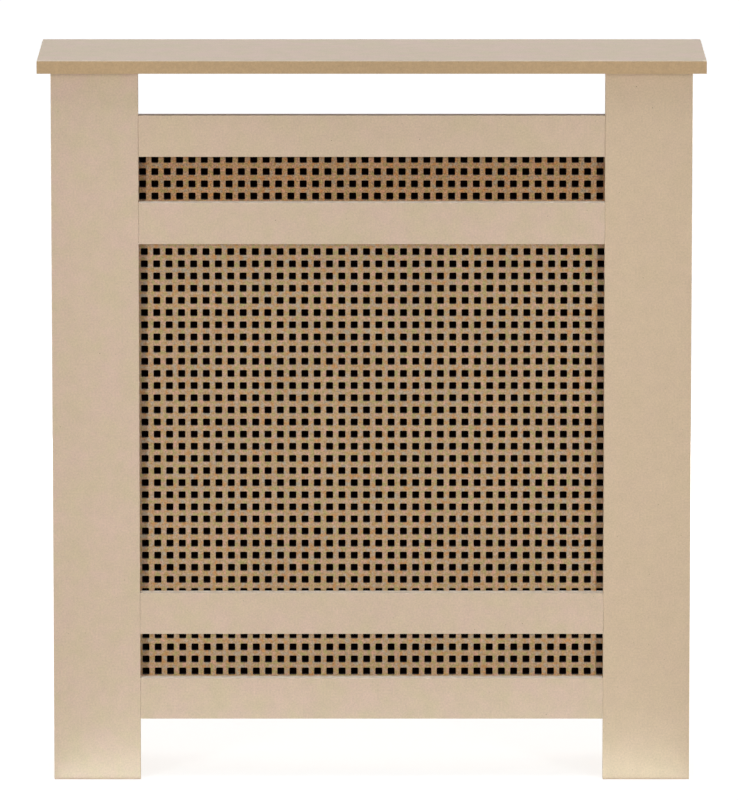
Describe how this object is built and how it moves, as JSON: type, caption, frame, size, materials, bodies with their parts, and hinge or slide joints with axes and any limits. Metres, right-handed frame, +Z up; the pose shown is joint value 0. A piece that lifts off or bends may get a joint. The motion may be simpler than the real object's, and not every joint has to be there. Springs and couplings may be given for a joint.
{
  "type": "radiator cover cabinet",
  "caption": "Open-backed cabinet that stands over a radiator: a shelf on two legs with rails, square-hole grilles and notched side panels.",
  "frame": {"origin": "on the floor, under the middle of the shelf", "axes": "+X to the right along the wall as seen from the room, +Y towards the wall, +Z up"},
  "size_m": [0.75, 0.19, 0.824],
  "materials": {
    "mdf": "raw sanded fibreboard",
    "hardboard": "raw pressed hardboard",
    "beech": "turned, raw",
    "cast_zinc": "die cast, dull",
    "zinc_plated_steel": "bright zinc plate",
    "galvanised_wire": "galvanised"
  },
  "bodies": {
    "carcass": {"top_shelf": "mdf", "left_stile": "mdf", "right_stile": "mdf", "top_rail": "mdf", "upper_rail": "mdf", "lower_rail": "mdf", "bottom_rail": "mdf", "left_side_panel": "mdf", "right_side_panel": "mdf", "upper_grille": "hardboard", "main_grille": "hardboard", "lower_grille": "hardboard", "rail_dowels": "beech", "carcass_dowels": "beech", "cam_bolts": "zinc_plated_steel", "left_wall_bracket": "zinc_plated_steel", "right_wall_bracket": "zinc_plated_steel", "bracket_screws": "zinc_plated_steel", "grille_staples": "galvanised_wire"},
    "left_stile_lower_cam": {"left_stile_lower_cam": "cast_zinc"},
    "left_stile_upper_cam": {"left_stile_upper_cam": "cast_zinc"},
    "left_shelf_front_cam": {"left_shelf_front_cam": "cast_zinc"},
    "left_shelf_rear_cam": {"left_shelf_rear_cam": "cast_zinc"},
    "right_stile_lower_cam": {"right_stile_lower_cam": "cast_zinc"},
    "right_stile_upper_cam": {"right_stile_upper_cam": "cast_zinc"},
    "right_shelf_front_cam": {"right_shelf_front_cam": "cast_zinc"},
    "right_shelf_rear_cam": {"right_shelf_rear_cam": "cast_zinc"}
  },
  "joints": [
    {"name": "left_stile_lower_cam_turn", "type": "hinge", "parent": "carcass", "child": "left_stile_lower_cam", "pos_m": [-0.345, -0.041, 0.19], "axis": [1, 0, 0], "range_deg": [0, 180]},
    {"name": "left_stile_upper_cam_turn", "type": "hinge", "parent": "carcass", "child": "left_stile_upper_cam", "pos_m": [-0.345, -0.041, 0.619], "axis": [1, 0, 0], "range_deg": [0, 180]},
    {"name": "left_shelf_front_cam_turn", "type": "hinge", "parent": "carcass", "child": "left_shelf_front_cam", "pos_m": [-0.345, -0.02, 0.785], "axis": [1, 0, 0], "range_deg": [0, 180]},
    {"name": "left_shelf_rear_cam_turn", "type": "hinge", "parent": "carcass", "child": "left_shelf_rear_cam", "pos_m": [-0.345, 0.05, 0.785], "axis": [1, 0, 0], "range_deg": [0, 180]},
    {"name": "right_stile_lower_cam_turn", "type": "hinge", "parent": "carcass", "child": "right_stile_lower_cam", "pos_m": [0.345, -0.041, 0.19], "axis": [-1, 0, 0], "range_deg": [0, 180]},
    {"name": "right_stile_upper_cam_turn", "type": "hinge", "parent": "carcass", "child": "right_stile_upper_cam", "pos_m": [0.345, -0.041, 0.619], "axis": [-1, 0, 0], "range_deg": [0, 180]},
    {"name": "right_shelf_front_cam_turn", "type": "hinge", "parent": "carcass", "child": "right_shelf_front_cam", "pos_m": [0.345, -0.02, 0.785], "axis": [-1, 0, 0], "range_deg": [0, 180]},
    {"name": "right_shelf_rear_cam_turn", "type": "hinge", "parent": "carcass", "child": "right_shelf_rear_cam", "pos_m": [0.345, 0.05, 0.785], "axis": [-1, 0, 0], "range_deg": [0, 180]}
  ]
}
